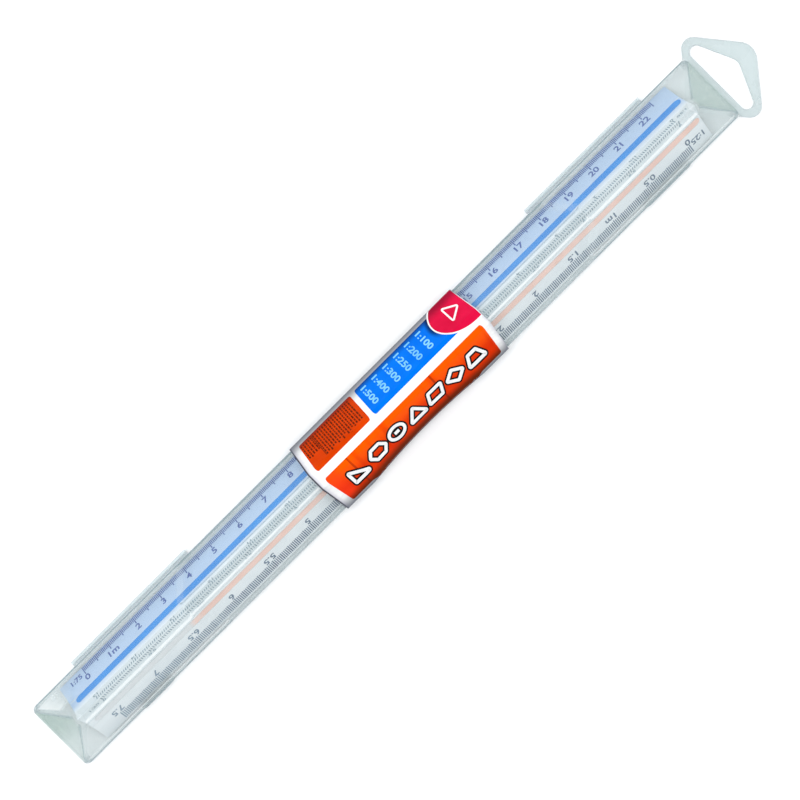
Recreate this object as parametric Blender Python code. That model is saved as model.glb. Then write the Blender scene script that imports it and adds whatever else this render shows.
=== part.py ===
"""Triangular scale ruler in a hinged, translucent triangular case.

Metres, +Z up. The case lies on its flat base lid with its ridge up, its length along X and its
hanger loop at +X. The origin is under the middle of the whole length, on the plane it rests on.
"""
import math

import bmesh
import bpy
from mathutils import Vector

MM = 0.001

# Case, outside
CASE_LENGTH = 345.5 * MM
CASE_WIDTH = 29.8 * MM
CASE_HEIGHT = 25.5 * MM
CORNER_CHAMFER = 2.0 * MM
WALL = 0.9 * MM
PANEL = 1.0 * MM
GAP = 0.3 * MM

# Hanger loop, measured past the case's end; its widths are between corners before rounding
HANGER_LENGTH = 21.0 * MM
HANGER_WIDTH = 44.4 * MM
HANGER_ROOT = 0.8 * MM
HANGER_SHOULDER = 5.0 * MM
HANGER_APEX_RADIUS = 7.0 * MM
HANGER_SHOULDER_RADIUS = 4.4 * MM
HOLE_START = 2.4 * MM
HOLE_WIDTH = 50.6 * MM
HOLE_APEX = 11.5 * MM
HOLE_RADIUS = 2.6 * MM
HOLE_APEX_RADIUS = 5.0 * MM

# Roof tray: the rim is nearly upright, a small ledge leads to the slopes
RIM_TOP = 3.8 * MM
RIM_DRAFT = 0.15 * MM
LEDGE_TOP = 4.5 * MM
LEDGE_END_STEP = 0.6 * MM
SLOPE_FOOT = 13.6 * MM
RIDGE_HALF = 3.6 * MM
RIDGE_LENGTH = 322.2 * MM
RECESS_FOOT = 12.6 * MM
RECESS_RIDGE_HALF = 3.0 * MM
RECESS_STEP_AT_RIDGE = 103.0 * MM
RECESS_STEP_AT_FOOT = 96.0 * MM
RECESS_STEP_RUN = 3.0 * MM

# Thumb recess in the free long edge of lid and tray: a shallow arc, x from the case's middle
THUMB_SPAN = (-21.0 * MM, 36.0 * MM)
THUMB_STEPS = 8
THUMB_DEPTH = 1.3 * MM
THUMB_DEPTH_INSIDE = 0.75 * MM
THUMB_DEPTH_LABEL = 1.5 * MM

# Living hinge: flanges on lid and tray, joined by a film on the hinge axis
FLANGE_SPAN = (90.0 * MM, 150.0 * MM)
FLANGE_OUT = 16.0 * MM
HINGE_Y = 16.6 * MM
HINGE_Z = PANEL + GAP / 2
FILM_RADIUS = 0.25 * MM

# Snap catches on the free long edge: (first x, last x) from the case's middle
CATCHES = ((-143.0 * MM, -126.0 * MM), (123.0 * MM, 147.0 * MM))
CATCH_BULGE = 0.4 * MM
BULGE_TOP = RIM_TOP - 0.5 * MM
TONGUE_HEIGHT = 2.2 * MM
TONGUE_THICKNESS = 0.7 * MM

# Ruler
RULER_LENGTH = 320.0 * MM
RULER_SIDE = 26.0 * MM
RULER_BLUNT = 0.4 * MM
FLUTE_DEPTH = 1.7 * MM
FLUTE_SEGMENTS = 12
STRIP_WIDTH = 4.0 * MM
STRIP_THICKNESS = 0.4 * MM
STRIP_END_MARGIN = 0.4 * MM

# Label, folded over the ridge
LABEL_LENGTH = 85.6 * MM
LABEL_RIDGE_EXTRA = 1.0 * MM
LABEL_MIDDLE = 7.2 * MM
LABEL_HALF_WIDTH = 15.65 * MM
LABEL_THICKNESS = 0.3 * MM
LABEL_FOOT = 1.7 * MM
LABEL_SHOULDER = 4.4 * MM

# The whole length runs from the case's -X end to the hanger's tip, and the origin is at its middle
CASE_X = -HANGER_LENGTH / 2
CASE_END = CASE_LENGTH / 2
CASE_HALF = CASE_WIDTH / 2
TRAY_FLOOR = PANEL + GAP
RULER_FLOOR = PANEL + GAP + 0.05 * MM


def clear_scene():
    for item in list(bpy.data.objects):
        bpy.data.objects.remove(item, do_unlink=True)


def plastic(name, color, roughness, alpha=1.0):
    material = bpy.data.materials.new(name)
    material.use_nodes = True
    shader = material.node_tree.nodes["Principled BSDF"]
    shader.inputs["Base Color"].default_value = (*color, 1.0)
    shader.inputs["Roughness"].default_value = roughness
    shader.inputs["Metallic"].default_value = 0.0
    shader.inputs["Alpha"].default_value = alpha
    return material


def add_object(name, mesh_data, material, parent=None):
    mesh = bpy.data.meshes.new(name)
    mesh_data.to_mesh(mesh)
    mesh_data.free()
    item = bpy.data.objects.new(name, mesh)
    item.data.materials.append(material)
    bpy.context.scene.collection.objects.link(item)
    if parent is not None:
        item.parent = parent
        item.matrix_parent_inverse = parent.matrix_world.inverted()
    return item


def add_empty(name, location, parent=None):
    item = bpy.data.objects.new(name, None)
    item.empty_display_size = 10 * MM
    bpy.context.scene.collection.objects.link(item)
    if parent is not None:
        item.parent = parent
    item.location = location
    bpy.context.view_layer.update()
    return item


def box_mesh(low, high):
    mesh = bmesh.new()
    bmesh.ops.create_cube(mesh, size=1.0)
    for vert in mesh.verts:
        for axis in range(3):
            vert.co[axis] = high[axis] if vert.co[axis] > 0 else low[axis]
    return mesh


def combine(target, operation, cutter):
    """Join or cut with a helper body, which stays in the scene as a wire guide."""
    cutter.hide_render = True
    cutter.display_type = "WIRE"
    modifier = target.modifiers.new(operation.title(), "BOOLEAN")
    modifier.operation = operation
    modifier.solver = "EXACT"
    modifier.object = cutter


def arc(center, radius, start, end, steps):
    """Points on an arc in the XY plane, angles in degrees."""
    points = []
    for step in range(steps + 1):
        angle = math.radians(start + (end - start) * step / steps)
        points.append((center[0] + radius * math.cos(angle), center[1] + radius * math.sin(angle)))
    return points


def rounded(points, radii, steps=6):
    """A closed outline whose corners are replaced by arcs of the given radii."""
    outline = []
    count = len(points)
    for index, radius in enumerate(radii):
        here = Vector(points[index])
        back = (Vector(points[index - 1]) - here).normalized()
        ahead = (Vector(points[(index + 1) % count]) - here).normalized()
        if radius == 0:
            outline.append(tuple(here))
            continue
        half_angle = back.angle(ahead) / 2
        center = here + (back + ahead).normalized() * radius / math.sin(half_angle)
        first = here + back * radius / math.tan(half_angle) - center
        last = here + ahead * radius / math.tan(half_angle) - center
        turn = first.angle_signed(last)
        for step in range(steps + 1):
            angle = -turn * step / steps
            swing = Vector((first.x * math.cos(angle) - first.y * math.sin(angle),
                            first.x * math.sin(angle) + first.y * math.cos(angle)))
            outline.append(tuple(center + swing))
    return outline


def shell_mesh(rings):
    """A closed body through rings of equal length, with the first and last ring capped or joined."""
    mesh = bmesh.new()
    rows = [[mesh.verts.new(point) for point in ring] for ring in rings]
    for lower, upper in zip(rows, rows[1:]):
        for i in range(len(lower)):
            mesh.faces.new((lower[i - 1], lower[i], upper[i], upper[i - 1]))
    mesh.faces.new(reversed(rows[0]))
    mesh.faces.new(rows[-1])
    bmesh.ops.recalc_face_normals(mesh, faces=mesh.faces)
    return mesh


def prism_mesh(profile, x_first, x_last):
    """A profile of (y, z) points, extruded along X."""
    return shell_mesh([[(x, y, z) for y, z in profile] for x in (x_first, x_last)])


def plate_mesh(outline, bottom, top):
    """An outline of (x, y) points, extruded upwards."""
    return shell_mesh([[(x, y, z) for x, y in outline] for z in (bottom, top)])


def thumb_places():
    first, last = THUMB_SPAN
    return [first + (last - first) * step / THUMB_STEPS for step in range(THUMB_STEPS + 1)]


def thumb_share(x):
    """Depth of the thumb recess at a place along the edge, as a share of its deepest point."""
    first, last = THUMB_SPAN
    offset = (2 * x - first - last) / (last - first)
    return max(0.0, 1.0 - offset * offset)


def hanger_apex():
    """Where the hanger's straight sides would meet, so that its rounded tip ends at its length."""
    apex = HANGER_LENGTH
    for _ in range(12):
        half_angle = math.atan2(HANGER_WIDTH / 2, apex - HANGER_SHOULDER)
        apex = HANGER_LENGTH + HANGER_APEX_RADIUS * (1 / math.sin(half_angle) - 1)
    return apex


def lid_outline():
    """The base panel, its two hinge flanges and the hanger's outer edge, as one outline."""
    end = CASE_END
    side = CASE_HALF
    cut = CORNER_CHAMFER
    near, far = FLANGE_SPAN
    hanger_half = HANGER_WIDTH / 2
    thumb = [(x, -side + THUMB_DEPTH * thumb_share(x), 0) for x in thumb_places()]
    points = [(-end, -side + cut, 0), (-end + cut, -side, 0), *thumb,
              (end - HANGER_ROOT, -side, 0),
              (end + HANGER_SHOULDER, -hanger_half, HANGER_SHOULDER_RADIUS),
              (end + hanger_apex(), 0.0, HANGER_APEX_RADIUS),
              (end + HANGER_SHOULDER, hanger_half, HANGER_SHOULDER_RADIUS),
              (end - HANGER_ROOT, side, 0),
              (far, side, 0), (far, FLANGE_OUT, 0), (near, FLANGE_OUT, 0), (near, side, 0),
              (-near, side, 0), (-near, FLANGE_OUT, 0), (-far, FLANGE_OUT, 0), (-far, side, 0),
              (-end + cut, side, 0), (-end, side - cut, 0)]
    outline = rounded([point[:2] for point in points], [point[2] for point in points])
    return [(x + CASE_X, y) for x, y in outline]


def hanger_hole():
    start = CASE_END + HOLE_START
    half = HOLE_WIDTH / 2
    outline = rounded([(start, -half), (start + HOLE_APEX, 0.0), (start, half)],
                      [HOLE_RADIUS, HOLE_APEX_RADIUS, HOLE_RADIUS], steps=6)
    return [(x + CASE_X, y) for x, y in outline]


def build_lid(material, parent):
    lid = add_object("base_lid", plate_mesh(lid_outline(), 0.0, PANEL), material, parent)
    hole = add_object("guide_hole", plate_mesh(hanger_hole(), -PANEL, 2 * PANEL), material, parent)
    combine(lid, "DIFFERENCE", hole)
    outside = CASE_HALF - WALL + CATCH_BULGE - GAP
    for number, (first, last) in enumerate(CATCHES, 1):
        low = (CASE_X + first + GAP, -outside, PANEL / 2)
        high = (CASE_X + last - GAP, -outside + TONGUE_THICKNESS, PANEL + TONGUE_HEIGHT)
        tongue = add_object(f"guide_tongue_{number}", box_mesh(low, high), material, parent)
        combine(lid, "UNION", tongue)
    return lid


def tray_ring(height, length, end_half, recess_half, thumb):
    """One level of the tray: a long chamfered outline that steps in over its middle."""
    share = (height - LEDGE_TOP) / (CASE_HEIGHT - LEDGE_TOP)
    step = RECESS_STEP_AT_FOOT + (RECESS_STEP_AT_RIDGE - RECESS_STEP_AT_FOOT) * max(share, 0.0)
    inner = step - RECESS_STEP_RUN / 2
    outer = step + RECESS_STEP_RUN / 2
    cut = min(CORNER_CHAMFER, end_half * 0.3)
    half = [(length - cut, end_half), (outer, end_half), (inner, recess_half)]
    side = [(length, end_half - cut)] + half
    mirrored = [(-x, y) for x, y in reversed(side)]
    upper = side + mirrored
    lower = [(x, -y) for x, y in reversed(upper)]
    middle = len(lower) // 2
    lower[middle:middle] = [(x, -recess_half + thumb * thumb_share(x)) for x in thumb_places()]
    return [(CASE_X + x, y, height) for x, y in upper + lower]


def slope_at(height, foot, ridge):
    """Half-width of a slope at a height."""
    share = (height - LEDGE_TOP) / (CASE_HEIGHT - LEDGE_TOP)
    return foot + (ridge - foot) * share


def tray_levels():
    """Outer levels going up, then inner levels coming down to the rim's underside."""
    end = CASE_END
    side = CASE_HALF
    ridge_end = RIDGE_LENGTH / 2
    ledge_end = end - LEDGE_END_STEP
    outer = [
        (TRAY_FLOOR, end, side, side, THUMB_DEPTH),
        (RIM_TOP, end - RIM_DRAFT, side - RIM_DRAFT, side - RIM_DRAFT, THUMB_DEPTH),
        (LEDGE_TOP, ledge_end, SLOPE_FOOT, RECESS_FOOT, 0.0),
        (CASE_HEIGHT, ridge_end, RIDGE_HALF, RECESS_RIDGE_HALF, 0.0),
    ]
    sine = math.sin(math.atan2(CASE_HEIGHT - LEDGE_TOP, SLOPE_FOOT - RIDGE_HALF))
    inset = WALL / sine
    inner = []
    for height in (CASE_HEIGHT - WALL, LEDGE_TOP - 0.7 * MM):
        inner.append((height,
                      slope_at(height, ledge_end, ridge_end) - inset,
                      slope_at(height, SLOPE_FOOT, RIDGE_HALF) - inset,
                      slope_at(height, RECESS_FOOT, RECESS_RIDGE_HALF) - inset, 0.0))
    for height in (RIM_TOP - 0.6 * MM, TRAY_FLOOR):
        rim = side - RIM_DRAFT * (height - TRAY_FLOOR) / (RIM_TOP - TRAY_FLOOR) - WALL
        inner.append((height, rim + end - side, rim, rim, THUMB_DEPTH_INSIDE))
    return outer, inner


def tray_mesh():
    outer, inner = tray_levels()
    rings = [tray_ring(*level) for level in outer + inner]
    mesh = bmesh.new()
    rows = [[mesh.verts.new(point) for point in ring] for ring in rings]
    count = len(rows[0])
    roof = len(outer) - 1
    for index in range(len(rows)):
        if index == roof:
            continue
        lower = rows[index]
        upper = rows[(index + 1) % len(rows)]
        for i in range(count):
            mesh.faces.new((lower[i - 1], lower[i], upper[i], upper[i - 1]))
    mesh.faces.new(rows[roof])
    mesh.faces.new(rows[roof + 1])
    bmesh.ops.recalc_face_normals(mesh, faces=mesh.faces)
    return mesh


def bulge_profile(first, last):
    """Plan outline of a snap bulge on the rim, with ramped ends."""
    ramp = 2.0 * MM
    skin = -CASE_HALF + WALL / 2
    crest = -CASE_HALF - CATCH_BULGE
    plan = [(first, skin), (first, -CASE_HALF), (first + ramp, crest), (last - ramp, crest),
            (last, -CASE_HALF), (last, skin)]
    return [(x + CASE_X, y) for x, y in plan]


def build_tray(material, parent):
    tray = add_object("roof_tray", tray_mesh(), material, parent)
    near, far = FLANGE_SPAN
    for number, (first, last) in enumerate(((-far, -near), (near, far)), 1):
        low = (CASE_X + first, CASE_HALF - WALL / 2, TRAY_FLOOR)
        high = (CASE_X + last, FLANGE_OUT, TRAY_FLOOR + PANEL)
        flange = add_object(f"guide_flange_{number}", box_mesh(low, high), material, parent)
        combine(tray, "UNION", flange)
    for number, (first, last) in enumerate(CATCHES, 1):
        plan = bulge_profile(first, last)
        bulge = add_object(f"guide_bulge_{number}", plate_mesh(plan, TRAY_FLOOR, BULGE_TOP), material,
                           parent)
        combine(tray, "UNION", bulge)
        low = (CASE_X + first, -CASE_HALF + WALL - CATCH_BULGE, 0.0)
        high = (CASE_X + last, -CASE_HALF + 2 * WALL, PANEL + TONGUE_HEIGHT + GAP)
        pocket = add_object(f"guide_pocket_{number}", box_mesh(low, high), material, parent)
        combine(tray, "DIFFERENCE", pocket)
    return tray


def build_films(material, parent):
    """The thin film on the hinge axis, one stretch between each pair of flanges."""
    near, far = FLANGE_SPAN
    profile = arc((HINGE_Y, HINGE_Z), FILM_RADIUS, 0.0, 315.0, 7)
    for name, first, last in (("hinge_film_left", -far, -near), ("hinge_film_right", near, far)):
        add_object(name, prism_mesh(profile, CASE_X + first, CASE_X + last), material, parent)


def ruler_corners():
    height = RULER_SIDE * math.sqrt(3) / 2
    return [Vector((RULER_SIDE / 2, RULER_FLOOR)), Vector((0.0, RULER_FLOOR + height)),
            Vector((-RULER_SIDE / 2, RULER_FLOOR))]


def face_frame(first, second):
    """Middle of a face, the direction along it and the direction into the ruler."""
    along = (second - first).normalized()
    inward = Vector((-along.y, along.x))
    return (first + second) / 2, along, inward


def flute_depth(offset):
    """Depth of the concave face below the straight line between its edges."""
    half = RULER_SIDE / 2 - RULER_BLUNT
    return FLUTE_DEPTH * max(0.0, 1.0 - (offset / half) ** 2)


def ruler_profile():
    corners = ruler_corners()
    channel = STRIP_WIDTH / 2 + GAP
    floor = FLUTE_DEPTH + STRIP_THICKNESS + GAP
    half = RULER_SIDE / 2 - RULER_BLUNT
    profile = []
    for index in range(3):
        middle, along, inward = face_frame(corners[index], corners[(index + 1) % 3])
        offsets = [-half + 2 * half * step / FLUTE_SEGMENTS for step in range(FLUTE_SEGMENTS + 1)]
        left = [offset for offset in offsets if offset < -channel]
        right = [offset for offset in offsets if offset > channel]
        points = [(offset, flute_depth(offset)) for offset in left + [-channel]]
        points += [(-channel, floor), (channel, floor)]
        points += [(offset, flute_depth(offset)) for offset in [channel] + right]
        profile += [tuple(middle + along * offset + inward * depth) for offset, depth in points]
    return profile


def build_ruler(material, parent):
    half = RULER_LENGTH / 2
    return add_object("ruler_body", prism_mesh(ruler_profile(), CASE_X - half, CASE_X + half),
                      material, parent)


def build_strips(materials, parent):
    """One colour strip at the bottom of each flute: upper face, lower face, base face."""
    corners = ruler_corners()
    half_length = RULER_LENGTH / 2 - STRIP_END_MARGIN
    names = ("strip_blue", "strip_orange", "strip_green")
    for index, name in enumerate(names):
        middle, along, inward = face_frame(corners[index], corners[(index + 1) % 3])
        profile = []
        for side, depth in ((-1, FLUTE_DEPTH), (1, FLUTE_DEPTH), (1, FLUTE_DEPTH + STRIP_THICKNESS),
                            (-1, FLUTE_DEPTH + STRIP_THICKNESS)):
            point = middle + along * side * STRIP_WIDTH / 2 + inward * depth
            profile.append(tuple(point))
        add_object(name, prism_mesh(profile, CASE_X - half_length, CASE_X + half_length),
                   materials[index], parent)


def label_section(inset, thumb):
    """Half-section of the label from its foot at the rim up to the ridge, as (y, z) points."""
    side = LABEL_HALF_WIDTH - inset - thumb
    return [(side, LABEL_FOOT), (side - 0.2 * MM, LABEL_SHOULDER - inset / 2),
            (RIDGE_HALF - inset / 2, CASE_HEIGHT + GAP + LABEL_THICKNESS - inset)]


def label_ring(x, stretch):
    """The closed cross-section of the label; its ends reach further out along the ridge."""
    thumb = THUMB_DEPTH_LABEL * thumb_share(x)
    ring = []
    for inset, order in ((0.0, 1), (LABEL_THICKNESS, -1)):
        near = [(-y, z) for y, z in label_section(inset, thumb)]
        far = list(reversed(label_section(inset, 0.0)))
        ring += (near + far)[::order]
    top = CASE_HEIGHT
    return [(CASE_X + x + stretch * max(0.0, z - LABEL_FOOT) / (top - LABEL_FOOT), y, z)
            for y, z in ring]


def label_mesh():
    start = LABEL_MIDDLE - LABEL_LENGTH / 2
    end = LABEL_MIDDLE + LABEL_LENGTH / 2
    rings = [label_ring(start, -LABEL_RIDGE_EXTRA)]
    rings += [label_ring(x, 0.0) for x in thumb_places()]
    rings.append(label_ring(end, LABEL_RIDGE_EXTRA))
    return shell_mesh(rings)


def build_label(material, parent):
    return add_object("wrap_label", label_mesh(), material, parent)


def main():
    clear_scene()
    clear = plastic("clear_polypropylene", (0.86, 0.92, 0.94), 0.28, alpha=0.4)
    ruler_white = plastic("white_polystyrene", (0.90, 0.91, 0.90), 0.42)
    blue = plastic("blue_strip", (0.10, 0.42, 0.85), 0.4)
    orange = plastic("orange_strip", (0.90, 0.38, 0.14), 0.4)
    green = plastic("green_strip", (0.16, 0.58, 0.30), 0.4)
    card = plastic("printed_label", (0.93, 0.30, 0.05), 0.35)

    lid_root = add_empty("case_base", (0.0, 0.0, 0.0))
    hinge = add_empty("hinge_axis", (CASE_X, HINGE_Y, HINGE_Z), lid_root)
    ruler_root = add_empty("ruler_slide", (CASE_X, 0.0, RULER_FLOOR), hinge)
    ruler_root.location = Vector((CASE_X, 0.0, RULER_FLOOR)) - hinge.location
    bpy.context.view_layer.update()

    build_lid(clear, lid_root)
    build_films(clear, lid_root)
    build_tray(clear, hinge)
    build_label(card, hinge)
    build_ruler(ruler_white, ruler_root)
    build_strips((blue, orange, green), ruler_root)


main()
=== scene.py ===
"""Looks of the triangular scale ruler in its translucent hinged case.

Sizes are in millimetres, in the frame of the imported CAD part: X along the case with the hanger at
+X, Y across it with the hinge at +Y, Z up. The case's own middle is at CASE_X.
"""

import math
import random

import bmesh
import bpy
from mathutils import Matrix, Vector


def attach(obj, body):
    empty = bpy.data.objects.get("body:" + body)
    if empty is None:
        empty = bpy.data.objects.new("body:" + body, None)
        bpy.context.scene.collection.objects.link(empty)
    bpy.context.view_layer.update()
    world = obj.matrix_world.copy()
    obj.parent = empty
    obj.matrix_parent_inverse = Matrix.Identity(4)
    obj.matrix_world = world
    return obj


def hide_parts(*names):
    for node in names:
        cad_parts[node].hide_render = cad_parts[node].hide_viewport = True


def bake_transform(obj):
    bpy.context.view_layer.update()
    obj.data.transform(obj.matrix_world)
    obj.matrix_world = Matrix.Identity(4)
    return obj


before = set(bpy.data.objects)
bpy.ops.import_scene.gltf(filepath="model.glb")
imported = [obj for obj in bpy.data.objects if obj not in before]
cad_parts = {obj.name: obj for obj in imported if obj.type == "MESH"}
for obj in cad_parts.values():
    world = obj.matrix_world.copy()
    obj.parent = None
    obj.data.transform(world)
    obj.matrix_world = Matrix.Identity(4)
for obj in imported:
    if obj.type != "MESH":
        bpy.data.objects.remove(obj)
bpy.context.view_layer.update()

MM = 0.001

# -------- sizes, as the CAD part has them
CASE_X = -10.5
CASE_END = 172.75
CASE_HALF = 14.9
CASE_TOP = 25.5
TRAY_FLOOR = 1.3
RIM_TOP = 3.8
LEDGE_TOP = 4.5
SLOPE_FOOT = 13.6
RECESS_FOOT = 12.6
RIDGE_HALF = 3.6
RECESS_RIDGE_HALF = 3.0
RIDGE_END = 161.1
LEDGE_END = 172.15
WALL = 0.9
PANEL = 1.0
# Softened edges, how far the rim leans in outside and inside, and the case's rounded corners
SOFT = 0.12
RIM_LEAN = 0.15
INNER_LEAN = 0.114
CORNER = 2.0
CORNER_ABOVE_RIM = 0.9
CORNER_GROWTH = 1.4
STEP_AT_FOOT = 96.0
STEP_AT_RIDGE = 103.0
STEP_RUN = 3.0
THUMB = (-21.0, 36.0)
THUMB_DEPTH = 1.3
THUMB_PLACES = [THUMB[0] + (THUMB[1] - THUMB[0]) * n / 16 for n in range(17)]
CATCHES = ((-143.0, -126.0), (123.0, 147.0))
CATCH_BULGE = 0.4
CATCH_TOP = 3.3
CATCH_EASE = 2.0
FLANGES = ((-150.0, -90.0), (90.0, 150.0))
FLANGE_OUT = 16.0
FLANGE_TOP = 2.3
HANGER_OUT = 21.0
HANGER_HALF = 22.2
HANGER_ROUND = 7.0
SHOULDER_OUT = 5.0
SHOULDER_ROUND = 4.4
HOLE_START = 2.4
HOLE_DEEP = 11.5
HOLE_HALF = 25.3
RULER_HALF = 160.0
RULER_SIDE = 26.0
RULER_BLUNT = 0.4
RULER_FLOOR = 1.35
FACE_HALF = RULER_SIDE / 2 - RULER_BLUNT
FLUTE_DEPTH = 1.7
GROOVE_HALF = 2.15
GROOVE_DEPTH = 0.18
STRIPE_ENDS = (-157.2, 159.2)
LABEL_ENDS = (-35.4, 49.2)
LABEL_RIDGE_EXTRA = 1.2
LABEL_HALF = 15.65
LABEL_FOOT = 1.7
LABEL_SHOULDER = 4.4
LABEL_TOP = 26.04
LABEL_THUMB = 1.5
LABEL_THICKNESS = 0.3
# Along the label's section, where the front panel starts to follow the thumb recess, and its reach
HEM = 22.0
HEM_REACH = 26.5
# Printed layers on the label: their thickness, and how far each stands above the card
PRINT = 0.03
PANEL_LIFT, RIM_LIFT, FIGURE_LIFT, TOP_LIFT, SIGN_LIFT = 0.02, 0.035, 0.045, 0.05, 0.065
# Share of a length up the label's slopes that shows from above
SLOPE_VIEW = 0.48
# The badge's oval: its middle along and across the case, and its two half-widths
BADGE = (48.5, 9.5, 14.35, 8.9)


# -------- small helpers
def clamp(value, low=0.0, high=1.0):
    return max(low, min(high, value))


def ease(value):
    value = clamp(value)
    return value * value * (3 - 2 * value)


def rise(z):
    """Share of the way up from the ledge to the ridge."""
    return clamp((z - LEDGE_TOP) / (CASE_TOP - LEDGE_TOP))


def step_place(z):
    """Where the roof's recess ends along the case, at a height."""
    return STEP_AT_FOOT + (STEP_AT_RIDGE - STEP_AT_FOOT) * rise(z)


def between(first, last, shares):
    """Points at the given shares of the way from first to last."""
    return [(first[0] + (last[0] - first[0]) * t, first[1] + (last[1] - first[1]) * t) for t in shares]


def thumb_share(x):
    """Depth of the thumb recess along the edge, as a share of its deepest point."""
    offset = (2 * x - THUMB[0] - THUMB[1]) / (THUMB[1] - THUMB[0])
    return max(0.0, 1.0 - offset * offset)


def fillet(points, radii, steps=4):
    """An open line through points, with its inner corners rounded."""
    line = [tuple(points[0])]
    for index in range(1, len(points) - 1):
        here = Vector(points[index])
        radius = radii[index]
        if radius == 0:
            line.append(tuple(here))
            continue
        back = (Vector(points[index - 1]) - here).normalized()
        ahead = (Vector(points[index + 1]) - here).normalized()
        half = back.angle(ahead) / 2
        center = here + (back + ahead).normalized() * radius / math.sin(half)
        first = here + back * radius / math.tan(half) - center
        last = here + ahead * radius / math.tan(half) - center
        turn = first.angle_signed(last)
        for step in range(steps + 1):
            angle = -turn * step / steps
            line.append((center.x + first.x * math.cos(angle) - first.y * math.sin(angle),
                         center.y + first.x * math.sin(angle) + first.y * math.cos(angle)))
    line.append(tuple(points[-1]))
    return line


def spaced(values, gap):
    """The values in order, without those that lie closer than gap to the one before."""
    kept = []
    for value in sorted(values):
        if not kept or value - kept[-1] > gap:
            kept.append(value)
    return kept


def closed_fillet(points, radii, steps=10):
    """A closed outline with its corners rounded."""
    around = [points[-1], *points, points[0]]
    return fillet(around, [0, *radii, 0], steps)[1:-1]


def loft_faces(size, steps, caps=True):
    """Faces between rings of points, size points to a ring; caps close the two end rings."""
    faces = [(n * size + i, n * size + (i + 1) % size, (n + 1) * size + (i + 1) % size,
              (n + 1) * size + i) for n in range(steps) for i in range(size)]
    if caps:
        faces += [tuple(range(size)), tuple(range(steps * size, (steps + 1) * size))]
    return faces


def sheet_faces(wide, tall):
    """Faces of a closed thin sheet: an upper and a lower grid of points, and the rim between them."""
    count = wide * tall
    faces = [(a, a + 1, a + wide + 1, a + wide) for level in (0, count)
             for row in range(tall - 1) for a in range(level + row * wide, level + row * wide + wide - 1)]
    border = list(range(wide)) + [row * wide + wide - 1 for row in range(1, tall)]
    border += [count - 2 - c for c in range(wide - 1)] + [row * wide for row in range(tall - 2, 0, -1)]
    return faces + [(a, b, b + count, a + count) for a, b in zip(border, border[1:] + border[:1])]


def add_object(name, data):
    item = bpy.data.objects.new(name, data)
    bpy.context.scene.collection.objects.link(item)
    return item


def new_object(name, mesh, material, smooth_angle=35.0):
    item = add_object(name, mesh)
    mesh.materials.append(material)
    mesh.shade_smooth()
    mesh.set_sharp_from_angle(angle=math.radians(smooth_angle))
    return item


def paint(mesh, haze_and_painted_light):
    """Give each point its painted light: (haze_and_highlight, painted shade, facet_shade, 1)."""
    layer = mesh.color_attributes.new("haze_and_painted_light", "FLOAT_COLOR", "POINT")
    for entry, value in zip(layer.data, haze_and_painted_light):
        entry.color = value


def mesh_from(name, vertices, faces, haze_and_painted_light=None):
    """A mesh from points in millimetres, with painted light for each point where it is given."""
    mesh = bpy.data.meshes.new(name)
    mesh.from_pydata([(x * MM, y * MM, z * MM) for x, y, z in vertices], [], faces)
    if haze_and_painted_light:
        paint(mesh, haze_and_painted_light)
    return mesh


def curve_mesh(curve):
    """The filled mesh of a curve or a text."""
    holder = add_object(curve.name, curve)
    bpy.context.view_layer.update()
    mesh = bpy.data.meshes.new_from_object(holder.evaluated_get(bpy.context.evaluated_depsgraph_get()))
    bpy.data.objects.remove(holder)
    return mesh


def clean(mesh, distance=0.002 * MM):
    """Merge points that coincide, drop faces without area and turn every face outwards."""
    work = bmesh.new()
    work.from_mesh(mesh)
    bmesh.ops.remove_doubles(work, verts=work.verts, dist=distance)
    bmesh.ops.dissolve_degenerate(work, edges=work.edges, dist=distance)
    bmesh.ops.recalc_face_normals(work, faces=work.faces)
    work.to_mesh(mesh)
    work.free()
    return mesh


def finish_piece(item, body, slot, *nodes):
    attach(item, body)
    if nodes:
        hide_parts(*nodes)


# -------- materials
def linear(red, green, blue):
    """A screen colour, 0 to 255, as the shader wants it."""
    return tuple(((c / 255 + 0.055) / 1.055) ** 2.4 if c > 10 else c / 255 / 12.92
                 for c in (red, green, blue)) + (1.0,)


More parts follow.
